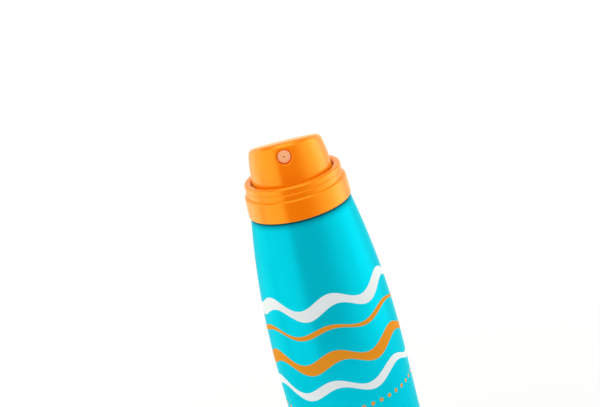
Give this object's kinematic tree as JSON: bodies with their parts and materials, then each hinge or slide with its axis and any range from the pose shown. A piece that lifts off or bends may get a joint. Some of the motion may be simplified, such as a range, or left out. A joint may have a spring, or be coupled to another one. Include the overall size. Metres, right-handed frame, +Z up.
{
  "type": "sunscreen spray bottle",
  "caption": "Upright sunscreen mist can with a tapering shoulder, a crimped valve with dip tube, a pressed-on collar and a domed spray button.",
  "frame": {"origin": "centre of the foot ring that the can stands on", "axes": "+Z up along the can's axis, -Y towards the side that the nozzle sprays to"},
  "size_m": [0.053, 0.053, 0.1889],
  "materials": {
    "can_lacquer": "turquoise gloss lacquer",
    "cup_aluminium": "satin",
    "gasket_rubber": "matte",
    "valve_plastic": "satin",
    "spring_steel": "drawn wire",
    "tube_plastic": "translucent satin",
    "orange_plastic": "gloss",
    "peach_plastic": "satin gloss"
  },
  "bodies": {
    "can": {"can_body": "can_lacquer", "valve_cup": "cup_aluminium", "cup_gasket": "gasket_rubber", "stem_gasket": "gasket_rubber", "valve_housing": "valve_plastic", "valve_spring": "spring_steel", "dip_tube": "tube_plastic"},
    "collar": {"collar": "orange_plastic"},
    "button": {"spray_button": "orange_plastic", "nozzle_insert": "peach_plastic", "valve_stem": "valve_plastic"}
  },
  "joints": [
    {"name": "collar_turn", "type": "hinge", "parent": "can", "child": "collar", "pos_m": [0, 0, 0.16779], "axis": [0, 0, 1], "continuous": true},
    {"name": "button_press", "type": "slide", "parent": "collar", "child": "button", "axis": [0, 0, -1], "range_m": [0, 0.0016], "stiffness_N_per_m": 4000, "deforming": ["valve_spring"]}
  ]
}
